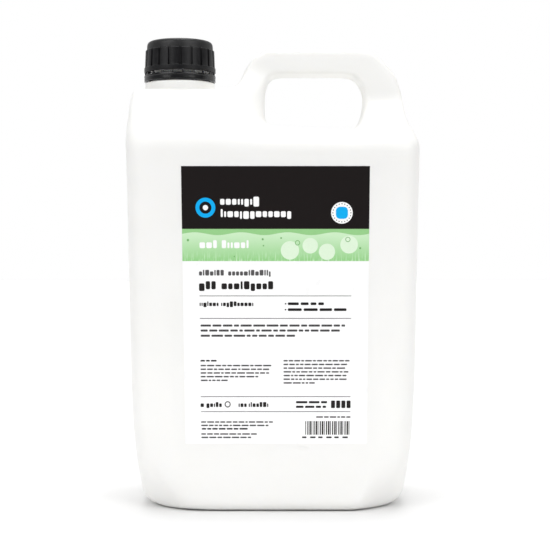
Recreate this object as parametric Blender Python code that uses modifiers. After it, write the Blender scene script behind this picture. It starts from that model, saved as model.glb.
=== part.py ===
"""A four-litre shampoo bottle with a handle and a tamper-evident screw cap.

The bottle stands on z = 0 with its front to -Y, its neck to -X and its handle to +X. Every
length is in metres. The pieces are the blow-moulded bottle, the label on its front, the screw
cap, the tamper ring that the cap leaves behind on the neck, and the foam liner inside the cap.
"""

import math

import bmesh
import bpy
from mathutils import Matrix, Vector

MM = 0.001
GAP = 0.3 * MM  # clearance between pieces that touch on the real object
OVERSHOOT = 5.0 * MM  # how far a cutter reaches beyond the surface that it cuts

# Bottle: the moulded form
HALF_DEPTH = 60.5 * MM
WALL = 1.2 * MM
PLAN_CORNER = 22.0 * MM
RIDGE_HEIGHT = 209.0 * MM  # top edge of the flat front, where the shoulder leans back
SHOULDER_TOP = 242.2 * MM
SHOULDER_SLOPE = math.radians(44)
HANDLE_TOP = 266.5 * MM
HANDLE_HALF_DEPTH = 12.5 * MM
HANDLE_ROOT = 234.5 * MM  # height at which the right post leaves the shoulder
GAP_LEFT, GAP_RIGHT = -5.0 * MM, 54.0 * MM
GAP_BOTTOM, GAP_TOP = 218.1 * MM, 252.2 * MM
SADDLE_FRONT = 39.0 * MM  # half depth of the shoulder's roof below the finger gap
SADDLE_DROP = 2.2 * MM  # how far that roof falls from its middle to its front edge
SADDLE_TILT = 0.045  # its rise towards the neck
SADDLE_ROUNDING = 5.0 * MM  # how far its right end is drawn in

# Bottle: the panels and the base
PANEL_CENTRE_X = 1.6 * MM
PANEL_HALF_WIDTH = 56.5 * MM
PANEL_BOTTOM, PANEL_TOP = 33.0 * MM, 200.5 * MM
PANEL_DEPTH = 0.6 * MM
PUSH_UP = (88.0 * MM, 60.0 * MM, 2.5 * MM)  # hollow under the base: length, depth, height
PUSH_UP_ROUNDING = 1.8 * MM

# Neck
NECK_X = -55.8 * MM
NECK_RADIUS = 17.4 * MM
BORE_RADIUS = 15.8 * MM
NECK_ROOT = 237.0 * MM  # inside the shoulder
COLLAR_RADIUS = 20.8 * MM  # the step that the neck stands on
COLLAR_TOP = 247.6 * MM
RIM_HEIGHT = 269.6 * MM
BEAD_RADIUS = 19.3 * MM
BEAD_BOTTOM, BEAD_TOP = 250.3 * MM, 251.8 * MM
THREAD_CREST = 18.7 * MM
THREAD_PITCH = 4.0 * MM
THREAD_TURNS = 2.25
NECK_THREAD_START = 256.1 * MM
THREAD_BASE = 2.0 * MM  # height of a thread ridge where it leaves the wall
THREAD_TIP = 0.9 * MM
THREAD_ROOT = 0.4 * MM  # how deep a ridge is sunk in its wall

# Cap
CAP_BOTTOM, CAP_TOP = 253.8 * MM, 273.0 * MM
CAP_BAND_TOP = 256.6 * MM  # smooth band under the panels
CAP_PANEL_TOP = 266.8 * MM
CAP_BAND_RADIUS = 21.1 * MM
CAP_RADIUS_BOTTOM, CAP_RADIUS_TOP = 21.35 * MM, 20.65 * MM
CAP_DOME_RADIUS = 19.6 * MM
CAP_DOME_ROUNDING = 3.0 * MM
CAP_INNER_RADIUS = 19.1 * MM
CAP_INNER_TOP = 271.4 * MM
CAP_THREAD_CREST = 17.8 * MM
CAP_PANELS = 20
CAP_GROOVE_WIDTH = 1.1 * MM
CAP_GROOVE_RADIUS = 20.0 * MM
CAP_GROOVE_TURN = math.radians(4)

# Liner
LINER_RADIUS = 18.4 * MM
LINER_THICKNESS = 1.2 * MM

# Tamper ring
RING_BOTTOM, RING_TOP = 248.2 * MM, 252.2 * MM
RING_RADIUS = 21.4 * MM
RING_INNER_RADIUS = 19.8 * MM
RING_LIP_RADIUS = 18.2 * MM
RING_LIP_TOP = 249.6 * MM
RING_EDGE = 0.5 * MM
BRIDGES = 20
BRIDGE_SIZE = (0.9 * MM, 1.4 * MM)  # along the radius, along the rim

# Label
LABEL_TOP_CENTRE_X, LABEL_BOTTOM_CENTRE_X = 1.45 * MM, 1.8 * MM
LABEL_TOP_WIDTH, LABEL_BOTTOM_WIDTH = 105.8 * MM, 101.6 * MM
LABEL_BOTTOM, LABEL_TOP = 38.5 * MM, 194.0 * MM
LABEL_THICKNESS = 0.2 * MM

# Fineness
TURNED_STEPS = 48
THREAD_STEPS = 30  # each turn
THREAD_RUN_OUT = 5  # steps over which a thread swells at its start and sinks at its end
FORM_LEVELS = 1  # subdivisions of the bottle's cage
ROUND_SHADING = math.radians(35)

# The bottle's form is a cage of cells seen from the front, ten columns by thirteen rows. The rows
# of the body and shoulder share their inner columns, and the handle's rows have their own.
BODY_COLUMNS = [-37 * MM, -21 * MM, GAP_LEFT, 9 * MM, 41 * MM, GAP_RIGHT]
BODY_EDGES = [  # height, half width, distance of the next column
    (0.0 * MM, 76.0 * MM, 27 * MM),
    (13.0 * MM, 77.4 * MM, 24 * MM),
    (34.0 * MM, 80.4 * MM, PLAN_CORNER),
    (118.0 * MM, 81.9 * MM, PLAN_CORNER),
    (199.5 * MM, 83.7 * MM, PLAN_CORNER),
    (RIDGE_HEIGHT, 84.6 * MM, PLAN_CORNER),
]
SHOULDER_EDGES = [  # height, left edge, right edge, distance of the next column
    (220.5 * MM, -84.0 * MM, 78.6 * MM, 18 * MM),
    (231.5 * MM, -83.6 * MM, 77.4 * MM, 13 * MM),
    (238.0 * MM, -83.0 * MM, 76.8 * MM, 12 * MM),
    (SHOULDER_TOP, -81.4 * MM, 76.0 * MM, 11 * MM),
]
HANDLE_ROWS = [  # height, then the x of columns 3 to 9
    (GAP_TOP, [-17.8, -2.5, 9.0, 38.0, 49.0, 61.5, 72.8]),
    (259.5 * MM, [-14.6, -2.5, 10.0, 36.0, 47.0, 56.5, 65.8]),
    (HANDLE_TOP, [-5.0, 1.0, 11.0, 32.0, 42.0, 50.5, 58.0]),
]
LAST_COLUMN = 9
LEAST_COLUMN = 3 * MM  # the narrowest that the body's last inner column becomes
RIDGE_ROW, SADDLE_ROW, SHOULDER_ROW, GAP_TOP_ROW, TOP_ROW = 5, 6, 9, 10, 12
POST_COLUMN, GAP_FIRST_COLUMN, GAP_LAST_COLUMN = 3, 4, 7
LAYER_SHARES = (0.0, 0.6, 1.0)  # the cage's layers, as shares of the local half depth
BASE_EDGE_SHARE = 0.74  # the middle layer along the base, which keeps that edge tighter
BASE_CORNER_PULL = {0: 18 * MM, 1: 10 * MM}  # the lowest rows' corners, drawn in both ways


def remove_everything():
    for thing in list(bpy.data.objects):
        bpy.data.objects.remove(thing, do_unlink=True)


def new_collection(name):
    collection = bpy.data.collections.new(name)
    bpy.context.scene.collection.children.link(collection)
    return collection


def new_material(name, colour, roughness, metallic=0.0):
    material = bpy.data.materials.new(name)
    material.use_nodes = True
    shader = material.node_tree.nodes["Principled BSDF"]
    shader.inputs["Base Color"].default_value = (*colour, 1.0)
    shader.inputs["Roughness"].default_value = roughness
    shader.inputs["Metallic"].default_value = metallic
    return material


def new_object(name, builder, collection):
    mesh = bpy.data.meshes.new(name)
    builder.to_mesh(mesh)
    builder.free()
    thing = bpy.data.objects.new(name, mesh)
    collection.objects.link(thing)
    return thing


def as_cutter(thing):
    thing.hide_render = True
    thing.display_type = "WIRE"
    return thing


def add_boolean(thing, cutter, operation):
    boolean = thing.modifiers.new(f"{operation.lower()} {cutter.name}", "BOOLEAN")
    boolean.operation = operation
    boolean.solver = "EXACT"
    boolean.object = cutter


def add_bevel(thing, width, segments=2):
    bevel = thing.modifiers.new("rounded edges", "BEVEL")
    bevel.width = width
    bevel.segments = segments
    bevel.limit_method = "ANGLE"


def shade_round(thing):
    thing.data.shade_smooth()
    thing.data.set_sharp_from_angle(angle=ROUND_SHADING)


def turned(name, profile, collection, steps=TURNED_STEPS):
    """A profile of (radius, height) points turned about z.

    It runs down the outer side, and from the axis to the axis or, for a ring, back to its start.
    """
    is_ring = profile[0][0] > 0.0
    builder = bmesh.new()
    points = [builder.verts.new((radius, 0.0, height)) for radius, height in profile]
    following = points[1:] + points[:1] if is_ring else points[1:]
    for first, second in zip(points, following):
        builder.edges.new((first, second))
    thing = new_object(name, builder, collection)
    screw = thing.modifiers.new("turned", "SCREW")
    screw.steps = screw.render_steps = steps
    screw.use_merge_vertices = True
    screw.merge_threshold = 0.01 * MM
    return thing


def box_between(name, low, high, collection):
    builder = bmesh.new()
    bmesh.ops.create_cube(builder, size=1.0)
    size = Vector(high) - Vector(low)
    centre = (Vector(high) + Vector(low)) / 2
    place = Matrix.Translation(centre) @ Matrix.Diagonal((*size, 1.0))
    bmesh.ops.transform(builder, matrix=place, verts=builder.verts)
    return new_object(name, builder, collection)


def thread_ridge(name, wall_radius, crest_radius, start, collection):
    """A helical ridge that swells out of a wall and sinks back into it at both ends."""
    steps = round(THREAD_STEPS * THREAD_TURNS)
    sunk = wall_radius + math.copysign(THREAD_ROOT, wall_radius - crest_radius)
    builder = bmesh.new()
    sections = []
    for step in range(steps + 1):
        turn = math.tau * step / THREAD_STEPS
        swell = min(1.0, (step + 1) / THREAD_RUN_OUT, (steps - step + 1) / THREAD_RUN_OUT)
        crest = wall_radius + (crest_radius - wall_radius) * swell
        middle = start + THREAD_PITCH * step / THREAD_STEPS
        outline = [
            (sunk, middle - THREAD_BASE / 2),
            (crest, middle - THREAD_TIP / 2),
            (crest, middle + THREAD_TIP / 2),
            (sunk, middle + THREAD_BASE / 2),
        ]
        sections.append([builder.verts.new((r * math.cos(turn), r * math.sin(turn), z)) for r, z in outline])
    for low, high in zip(sections, sections[1:]):
        for corner in range(4):
            following = (corner + 1) % 4
            builder.faces.new((low[corner], high[corner], high[following], low[following]))
    builder.faces.new(sections[0])
    builder.faces.new(reversed(sections[-1]))
    bmesh.ops.recalc_face_normals(builder, faces=builder.faces)
    return new_object(name, builder, collection)


def cage_rows():
    """For each row of the cage, its height and the x of its columns; None where it has none."""
    rows = []
    for height, half_width, step in BODY_EDGES:
        inner = [min(x, half_width - step - LEAST_COLUMN) for x in BODY_COLUMNS]
        rows.append((height, [-half_width, step - half_width, *inner, half_width - step, half_width]))
    for height, left, right, step in SHOULDER_EDGES:
        rows.append((height, [left, left + step, *BODY_COLUMNS, right - step, right]))
    for height, columns in HANDLE_ROWS:
        rows.append((height, [None] * POST_COLUMN + [x * MM for x in columns]))
    return rows


def is_filled(column, row):
    """Whether the cell whose lower left corner is this one belongs to the bottle."""
    if not (0 <= column < LAST_COLUMN and 0 <= row < TOP_ROW):
        return False
    if row >= SHOULDER_ROW and column < POST_COLUMN:
        return False
    return not (GAP_FIRST_COLUMN <= column < GAP_LAST_COLUMN and SADDLE_ROW <= row < GAP_TOP_ROW)


def half_depth(column, row, height):
    """How far the front stands from the mould's parting plane at a corner of the cage."""
    if row <= RIDGE_ROW:
        return HALF_DEPTH
    if row >= GAP_TOP_ROW:
        return HANDLE_HALF_DEPTH
    risen = height - RIDGE_HEIGHT
    if column <= POST_COLUMN:
        return HALF_DEPTH - risen / math.tan(SHOULDER_SLOPE)
    if row == SADDLE_ROW:
        return SADDLE_FRONT
    if column == GAP_FIRST_COLUMN:
        return (HANDLE_HALF_DEPTH + HALF_DEPTH - risen / math.tan(SHOULDER_SLOPE)) / 2
    share = min(1.0, risen / (HANDLE_ROOT - RIDGE_HEIGHT))
    return HALF_DEPTH + (HANDLE_HALF_DEPTH - HALF_DEPTH) * share


def cage_corner(rows, column, row, layer):
    height, columns = rows[row]
    depth = half_depth(column, row, height)
    x = columns[column]
    share = LAYER_SHARES[layer]
    if row == SADDLE_ROW and GAP_FIRST_COLUMN <= column <= GAP_LAST_COLUMN:
        height = GAP_BOTTOM - SADDLE_DROP * share**2 + SADDLE_TILT * (GAP_RIGHT - x)
        x -= SADDLE_ROUNDING * (column == GAP_LAST_COLUMN)
    if row == 0 and 1 < column < LAST_COLUMN - 1 and 0.0 < share < 1.0:
        share = BASE_EDGE_SHARE
    if row in BASE_CORNER_PULL and column in (0, LAST_COLUMN) and share == 1.0:
        pull = BASE_CORNER_PULL[row]
        return Vector((x - math.copysign(pull, x), pull - depth, height))
    return Vector((x, -depth * share, height))


def build_half_cage():
    """The front half of the bottle's form, open at the parting plane y = 0."""
    rows = cage_rows()
    builder = bmesh.new()
    made = {}

    def corner(column, row, layer):
        key = (column, row, layer)
        if key not in made:
            made[key] = builder.verts.new(cage_corner(rows, *key))
        return made[key]

    front = len(LAYER_SHARES) - 1
    for row in range(TOP_ROW):
        for column in range(LAST_COLUMN):
            if not is_filled(column, row):
                continue
            corners = [(column, row), (column + 1, row), (column + 1, row + 1), (column, row + 1)]
            builder.faces.new([corner(*place, front) for place in corners])
            beyond = [(column, row - 1), (column + 1, row), (column, row + 1), (column - 1, row)]
            for side, cell in enumerate(beyond):
                if is_filled(*cell):
                    continue
                start, end = corners[side], corners[(side + 1) % 4]
                for layer in range(front):
                    builder.faces.new(
                        [
                            corner(*end, layer + 1),
                            corner(*start, layer + 1),
                            corner(*start, layer),
                            corner(*end, layer),
                        ]
                    )
    return builder


def moulded_form(name, collection, inset=0.0):
    """The bottle's outer form without its neck, or the same form moved inwards by inset."""
    thing = new_object(name, build_half_cage(), collection)
    mirror = thing.modifiers.new("other half", "MIRROR")
    mirror.use_axis = (False, True, False)
    mirror.merge_threshold = 0.01 * MM
    smooth = thing.modifiers.new("smooth form", "SUBSURF")
    smooth.levels = smooth.render_levels = FORM_LEVELS
    if inset:
        inwards = thing.modifiers.new("wall", "DISPLACE")
        inwards.strength = -inset
        inwards.mid_level = 0.0
    return thing


def build_neck(cutters):
    """The neck as a solid plug with its collar, retaining bead and thread, before it is bored out."""
    slope = 0.5 * MM
    profile = [
        (0.0, RIM_HEIGHT),
        (NECK_RADIUS - slope, RIM_HEIGHT),
        (NECK_RADIUS, RIM_HEIGHT - slope),
        (NECK_RADIUS, BEAD_TOP + slope),
        (BEAD_RADIUS, BEAD_TOP),
        (BEAD_RADIUS, BEAD_BOTTOM),
        (NECK_RADIUS, BEAD_BOTTOM),
        (NECK_RADIUS, COLLAR_TOP),
        (COLLAR_RADIUS - slope, COLLAR_TOP),
        (COLLAR_RADIUS, COLLAR_TOP - slope),
        (COLLAR_RADIUS, NECK_ROOT),
        (0.0, NECK_ROOT),
    ]
    neck = turned("neck", profile, cutters)
    thread = thread_ridge("neck_thread", NECK_RADIUS, THREAD_CREST, NECK_THREAD_START, cutters)
    add_boolean(neck, as_cutter(thread), "UNION")
    neck.location.x = thread.location.x = NECK_X
    return as_cutter(neck)


def build_push_up(name, growth, cutters):
    """The hollow under the base, grown on every side by growth."""
    length, depth, height = PUSH_UP
    low = (-length / 2 - growth, -depth / 2 - growth, -OVERSHOOT)
    high = (length / 2 + growth, depth / 2 + growth, height + growth)
    cutter = box_between(name, low, high, cutters)
    add_bevel(cutter, PUSH_UP_ROUNDING)
    return as_cutter(cutter)


def build_panel(name, side, cutters):
    """The shallow label panel in the front (side -1) or the back (side 1)."""
    floor = side * (HALF_DEPTH - PANEL_DEPTH)
    outside = side * (HALF_DEPTH + OVERSHOOT)
    low = (PANEL_CENTRE_X - PANEL_HALF_WIDTH, min(floor, outside), PANEL_BOTTOM)
    high = (PANEL_CENTRE_X + PANEL_HALF_WIDTH, max(floor, outside), PANEL_TOP)
    return as_cutter(box_between(name, low, high, cutters))


def build_cavity(cutters):
    """The inside of the bottle: its form moved in by the wall, with the bore of the neck."""
    cavity = moulded_form("cavity", cutters, inset=WALL)
    bore_top = RIM_HEIGHT + OVERSHOOT
    bore_bottom = NECK_ROOT - WALL
    collar_inside = COLLAR_RADIUS - WALL
    profile = [
        (0.0, bore_top),
        (BORE_RADIUS, bore_top),
        (BORE_RADIUS, COLLAR_TOP - WALL),
        (collar_inside, COLLAR_TOP - WALL * 2),
        (collar_inside, bore_bottom),
        (0.0, bore_bottom),
    ]
    bore = turned("bore", profile, cutters)
    bore.location.x = NECK_X
    add_boolean(cavity, as_cutter(bore), "UNION")
    add_boolean(cavity, build_push_up("push_up_inside", WALL, cutters), "DIFFERENCE")
    return as_cutter(cavity)


def build_bottle(collection, cutters):
    bottle = moulded_form("bottle_body", collection)
    add_boolean(bottle, build_neck(cutters), "UNION")
    add_boolean(bottle, build_push_up("push_up", 0.0, cutters), "DIFFERENCE")
    add_boolean(bottle, build_panel("front_panel", -1, cutters), "DIFFERENCE")
    add_boolean(bottle, build_panel("back_panel", 1, cutters), "DIFFERENCE")
    add_boolean(bottle, build_cavity(cutters), "DIFFERENCE")
    bottle.data.materials.append(new_material("white_polyethylene", (0.93, 0.93, 0.91), 0.42))
    shade_round(bottle)
    return bottle


def build_label(collection):
    """A thin sheet that lies in the front panel, a little narrower at its foot, as the bottle is."""
    back = -(HALF_DEPTH - PANEL_DEPTH + GAP)
    outline = [
        (LABEL_BOTTOM_CENTRE_X - LABEL_BOTTOM_WIDTH / 2, LABEL_BOTTOM),
        (LABEL_BOTTOM_CENTRE_X + LABEL_BOTTOM_WIDTH / 2, LABEL_BOTTOM),
        (LABEL_TOP_CENTRE_X + LABEL_TOP_WIDTH / 2, LABEL_TOP),
        (LABEL_TOP_CENTRE_X - LABEL_TOP_WIDTH / 2, LABEL_TOP),
    ]
    builder = bmesh.new()
    builder.faces.new([builder.verts.new((x, back, z)) for x, z in outline])
    label = new_object("front_label", builder, collection)
    solidify = label.modifiers.new("paper", "SOLIDIFY")
    solidify.thickness = LABEL_THICKNESS
    solidify.offset = 1.0
    label.data.materials.append(new_material("printed_film", (0.95, 0.95, 0.95), 0.35))
    return label


def rounded_corner(centre_radius, centre_height, rounding, pieces=4):
    """Points of a quarter arc from straight up to straight out."""
    turns = [math.pi / 2 * step / pieces for step in range(pieces + 1)]
    return [
        (centre_radius + rounding * math.sin(turn), centre_height + rounding * math.cos(turn))
        for turn in turns
    ]


def build_grooves(cutters):
    """The upright grooves between the cap's grip panels, as one set of cutters."""
    reach = CAP_RADIUS_BOTTOM - CAP_GROOVE_RADIUS + OVERSHOOT
    height = CAP_PANEL_TOP - CAP_BAND_TOP
    builder = bmesh.new()
    for groove in range(CAP_PANELS):
        turn = Matrix.Rotation(CAP_GROOVE_TURN - math.pi / 2 + math.tau * groove / CAP_PANELS, 4, "Z")
        place = Matrix.Translation((CAP_GROOVE_RADIUS + reach / 2, 0.0, CAP_BAND_TOP + height / 2))
        size = Matrix.Diagonal((reach, CAP_GROOVE_WIDTH, height, 1.0))
        bmesh.ops.create_cube(builder, size=1.0, matrix=turn @ place @ size)
    return as_cutter(new_object("cap_grooves", builder, cutters))


def build_cap(collection, cutters):
    """The cap, open below, with a domed top, grip panels, a smooth band and an inner thread."""
    step_out = 0.6 * MM
    profile = [
        (0.0, CAP_TOP),
        *rounded_corner(CAP_DOME_RADIUS - CAP_DOME_ROUNDING, CAP_TOP - CAP_DOME_ROUNDING, CAP_DOME_ROUNDING),
        (CAP_DOME_RADIUS + step_out / 2, CAP_PANEL_TOP + step_out),
        (CAP_RADIUS_TOP, CAP_PANEL_TOP),
        (CAP_RADIUS_BOTTOM, CAP_BAND_TOP),
        (CAP_BAND_RADIUS, CAP_BAND_TOP),
        (CAP_BAND_RADIUS, CAP_BOTTOM),
        (CAP_INNER_RADIUS, CAP_BOTTOM),
        (CAP_INNER_RADIUS, CAP_INNER_TOP),
        (0.0, CAP_INNER_TOP),
    ]
    cap = turned("screw_cap", profile, collection, steps=CAP_PANELS * 4)
    thread_start = NECK_THREAD_START + THREAD_PITCH / 2
    thread = thread_ridge("cap_thread", CAP_INNER_RADIUS, CAP_THREAD_CREST, thread_start, cutters)
    grooves = build_grooves(cutters)
    add_boolean(cap, as_cutter(thread), "UNION")
    add_boolean(cap, grooves, "DIFFERENCE")
    cap.location.x = thread.location.x = grooves.location.x = NECK_X
    cap.data.materials.append(new_material("black_polypropylene", (0.02, 0.02, 0.022), 0.38))
    shade_round(cap)
    return cap


def build_liner(collection):
    """The foam wad that seals the cap against the rim of the neck."""
    bottom = RIM_HEIGHT + GAP
    top = bottom + LINER_THICKNESS
    profile = [(0.0, top), (LINER_RADIUS, top), (LINER_RADIUS, bottom), (0.0, bottom)]
    liner = turned("cap_liner", profile, collection)
    liner.location.x = NECK_X
    liner.data.materials.append(new_material("white_foam", (0.88, 0.88, 0.86), 0.8))
    shade_round(liner)
    return liner


def build_bridges(cutters):
    """The small tabs on top of the tamper ring, which tie it to a new cap."""
    length, width = BRIDGE_SIZE
    foot = RING_TOP - RING_EDGE
    height = CAP_BOTTOM - GAP - foot
    centre_radius = (RING_RADIUS + RING_INNER_RADIUS) / 2
    builder = bmesh.new()
    for bridge in range(BRIDGES):
        turn = Matrix.Rotation(math.tau * (bridge + 0.5) / BRIDGES, 4, "Z")
        place = Matrix.Translation((centre_radius, 0.0, foot + height / 2))
        size = Matrix.Diagonal((length, width, height, 1.0))
        bmesh.ops.create_cube(builder, size=1.0, matrix=turn @ place @ size)
    return as_cutter(new_object("ring_bridges", builder, cutters))


def build_ring(collection, cutters):
    """The tamper ring, held below the neck's bead by the lip inside it."""
    profile = [
        (RING_INNER_RADIUS, RING_TOP),
        (RING_RADIUS - RING_EDGE, RING_TOP),
        (RING_RADIUS, RING_TOP - RING_EDGE),
        (RING_RADIUS, RING_BOTTOM + RING_EDGE),
        (RING_RADIUS - RING_EDGE, RING_BOTTOM),
        (RING_INNER_RADIUS, RING_BOTTOM),
        (RING_LIP_RADIUS, RING_LIP_TOP - RING_EDGE),
        (RING_LIP_RADIUS, RING_LIP_TOP),
        (RING_INNER_RADIUS, RING_LIP_TOP),
    ]
    ring = turned("tamper_ring", profile, collection)
    bridges = build_bridges(cutters)
    add_boolean(ring, bridges, "UNION")
    ring.location.x = bridges.location.x = NECK_X
    ring.data.materials.append(new_material("black_ring", (0.02, 0.02, 0.022), 0.3))
    shade_round(ring)
    return ring


def main():
    remove_everything()
    collection = new_collection("shampoo_bottle")
    cutters = new_collection("cutters")
    build_bottle(collection, cutters)
    build_label(collection)
    build_cap(collection, cutters)
    build_liner(collection)
    build_ring(collection, cutters)


main()
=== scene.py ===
"""The looks of a four-litre shampoo bottle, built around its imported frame.

The bottle stands on z = 0 with its front to -Y, its neck to -X and its handle to +X. Every length
is in metres. Each piece replaces the frame's plain solid of the same name and rides on its body.
"""

import math
import random

import bmesh
import bpy
from mathutils import Matrix, Vector, noise


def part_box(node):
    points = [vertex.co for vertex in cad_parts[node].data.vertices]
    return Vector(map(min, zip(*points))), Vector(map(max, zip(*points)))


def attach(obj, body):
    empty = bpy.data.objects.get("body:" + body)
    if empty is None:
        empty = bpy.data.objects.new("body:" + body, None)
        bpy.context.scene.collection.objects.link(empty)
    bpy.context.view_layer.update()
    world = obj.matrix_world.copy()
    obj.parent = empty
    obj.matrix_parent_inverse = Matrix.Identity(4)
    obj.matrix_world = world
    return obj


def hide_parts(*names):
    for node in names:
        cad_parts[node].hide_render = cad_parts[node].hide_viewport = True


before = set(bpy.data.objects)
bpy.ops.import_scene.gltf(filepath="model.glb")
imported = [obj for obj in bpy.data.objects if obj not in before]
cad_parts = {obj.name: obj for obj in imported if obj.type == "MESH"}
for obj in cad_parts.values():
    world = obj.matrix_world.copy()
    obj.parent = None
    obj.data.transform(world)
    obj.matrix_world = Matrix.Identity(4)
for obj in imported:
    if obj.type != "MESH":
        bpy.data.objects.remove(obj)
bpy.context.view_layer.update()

MM = 0.001
cap_low, cap_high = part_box("screw_cap")
ring_low, ring_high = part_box("tamper_ring")
liner_low, liner_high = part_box("cap_liner")
label_low, label_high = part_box("front_label")
body_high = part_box("bottle_body")[1]

# The bottle's moulded form, as a cage of cells: ten columns by thirteen rows
HALF_DEPTH = body_high.y
WALL = 1.2 * MM
PLAN_CORNER = 22.0 * MM
RIDGE_HEIGHT = 209.0 * MM
SHOULDER_TOP = 242.2 * MM
SHOULDER_SLOPE = math.radians(44)
HANDLE_TOP = 266.5 * MM
HANDLE_HALF_DEPTH = 12.5 * MM
HANDLE_ROOT = 234.5 * MM
GAP_LEFT, GAP_RIGHT = -5.0 * MM, 54.0 * MM
GAP_BOTTOM, GAP_TOP = 218.1 * MM, 252.2 * MM
SADDLE_FRONT = 39.0 * MM
SADDLE_DROP = 2.2 * MM
SADDLE_TILT = 0.045
SADDLE_ROUNDING = 5.0 * MM
BODY_COLUMNS = [-37 * MM, -21 * MM, GAP_LEFT, 9 * MM, 41 * MM, GAP_RIGHT]
BODY_EDGES = [  # height, half width, distance of the next column
    (0.0 * MM, 76.0 * MM, 27 * MM),
    (13.0 * MM, 77.4 * MM, 24 * MM),
    (34.0 * MM, 80.4 * MM, PLAN_CORNER),
    (118.0 * MM, 81.9 * MM, PLAN_CORNER),
    (199.5 * MM, 83.7 * MM, PLAN_CORNER),
    (RIDGE_HEIGHT, 84.6 * MM, PLAN_CORNER),
]
SHOULDER_EDGES = [  # height, left edge, right edge, distance of the next column
    (220.5 * MM, -84.0 * MM, 78.6 * MM, 18 * MM),
    (231.5 * MM, -83.6 * MM, 77.4 * MM, 13 * MM),
    (238.0 * MM, -83.0 * MM, 76.8 * MM, 12 * MM),
    (SHOULDER_TOP, -81.4 * MM, 76.0 * MM, 11 * MM),
]
HANDLE_ROWS = [  # height, then the x of columns 3 to 9
    (GAP_TOP, [-17.8, -2.5, 9.0, 38.0, 49.0, 61.5, 72.8]),
    (259.5 * MM, [-14.6, -2.5, 10.0, 36.0, 47.0, 56.5, 65.8]),
    (HANDLE_TOP, [-5.0, 1.0, 11.0, 32.0, 42.0, 50.5, 58.0]),
]
LAST_COLUMN = 9
LEAST_COLUMN = 3 * MM
RIDGE_ROW, SADDLE_ROW, SHOULDER_ROW, GAP_TOP_ROW, TOP_ROW = 5, 6, 9, 10, 12
POST_COLUMN, GAP_FIRST_COLUMN, GAP_LAST_COLUMN = 3, 4, 7
LAYER_SHARES = (0.0, 0.6, 1.0)
BASE_EDGE_SHARE = 0.74
BASE_CORNER_PULL = {0: 18 * MM, 1: 10 * MM}
OUTER_LEVELS, INNER_LEVELS = 3, 2

# Details moulded into the bottle's surface
PANEL_CENTRE = (1.6 * MM, 116.75 * MM)
PANEL_HALF_SIZE = (56.5 * MM, 83.75 * MM)
PANEL_DEPTH = 0.35 * MM
PANEL_CORNER = 9.0 * MM
PANEL_EDGE = 3.2 * MM  # half the width of the slope round it
PANEL_LINES = [-3.2, -2.1, -1.0, 0.0, 1.0, 2.1, 3.2, 5.0, 7.0, 9.0]  # mm in from each edge
FOOT_HALF_SIZE = (44.0 * MM, 30.0 * MM)
FOOT_HEIGHT = 2.5 * MM
FOOT_CORNER = 6.0 * MM
FOOT_SLOPE = 2.4 * MM
FOOT_LINES = [0.0, 0.8, 1.6, 2.4, 3.6, 5.0]  # mm in from each edge
SEAM_HEIGHT = 0.16 * MM
SEAM_HALF_WIDTH = 0.7 * MM
SEAM_START = (2 * MM, 6 * MM)  # heights between which the seam rises from nothing
PINCH_HEIGHT = 0.6 * MM
WAVE_HEIGHT = 0.14 * MM
WAVE_LENGTH = 38.0 * MM
WAVE_START = 12 * MM  # height from which the waves have their full size
DENT_CENTRE = (16.5 * MM, 36.0 * MM)
DENT_HALF_SIZE = (5.0 * MM, 1.4 * MM)
DENT_DEPTH = 0.5 * MM
DENT_SURROUND = (12 * MM, 6 * MM)  # how far round the dent the surface is divided finely
FLAT_DEPTH = 1.5 * MM  # how far behind the frontmost point the front still counts as flat
BASE_DEPTH = 2.0 * MM  # how far up the base still counts as flat
WELD = 0.02 * MM

# Neck and closure
NECK_X = (ring_low.x + ring_high.x) / 2
NECK_RADIUS = 17.4 * MM
BORE_RADIUS = 15.8 * MM
NECK_ROOT = 237.0 * MM
RIM_HEIGHT = liner_low.z - 0.3 * MM
BEAD_RADIUS = 19.3 * MM
BEAD_BOTTOM, BEAD_TOP = 250.3 * MM, 251.8 * MM
COLLAR_RADIUS = 20.8 * MM
COLLAR_TOP = 247.6 * MM
COLLAR_ROOT_ROUNDING = 1.6 * MM
THREAD_PITCH = 4.0 * MM
THREAD_TURNS = 2.25
THREAD_START = 256.1 * MM
THREAD_DEPTH = 1.3 * MM
THREAD_BASE, THREAD_TIP = 2.0 * MM, 0.9 * MM
THREAD_RUN_OUT = math.radians(60)
CAP_BAND_TOP = 256.6 * MM
CAP_PANEL_TOP = 266.8 * MM
CAP_BAND_RADIUS = 21.35 * MM
CAP_RADIUS_BOTTOM, CAP_RADIUS_TOP = 21.0 * MM, 20.6 * MM
CAP_DOME_RADIUS = 19.6 * MM
CAP_INNER_RADIUS = 19.1 * MM
CAP_INNER_TOP = 271.4 * MM
CAP_PANELS = 20
GROOVE_RADIUS = 19.75 * MM
GROOVE_TURN = math.radians(4)
GROOVE_OFFSETS = [-0.9, -0.75, -0.6, -0.3, 0.3, 0.6, 0.75, 0.9]  # mm from a groove's middle
GROOVE_HALF_WIDTH = 0.75 * MM
PANEL_PLACES = 7  # points across each grip panel
PILLOW = 0.12 * MM  # how much lower a grip panel is at its sides
RING_TOP = 252.2 * MM
RING_RADIUS = (ring_high.x - ring_low.x) / 2
RING_INNER_RADIUS = 19.8 * MM
RING_LIP_RADIUS = 18.2 * MM
RING_LIP_TOP = 249.6 * MM
BRIDGES = 20
BRIDGE_SIZE = (0.9 * MM, 1.4 * MM)
TURNED_COLUMNS = 144

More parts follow.
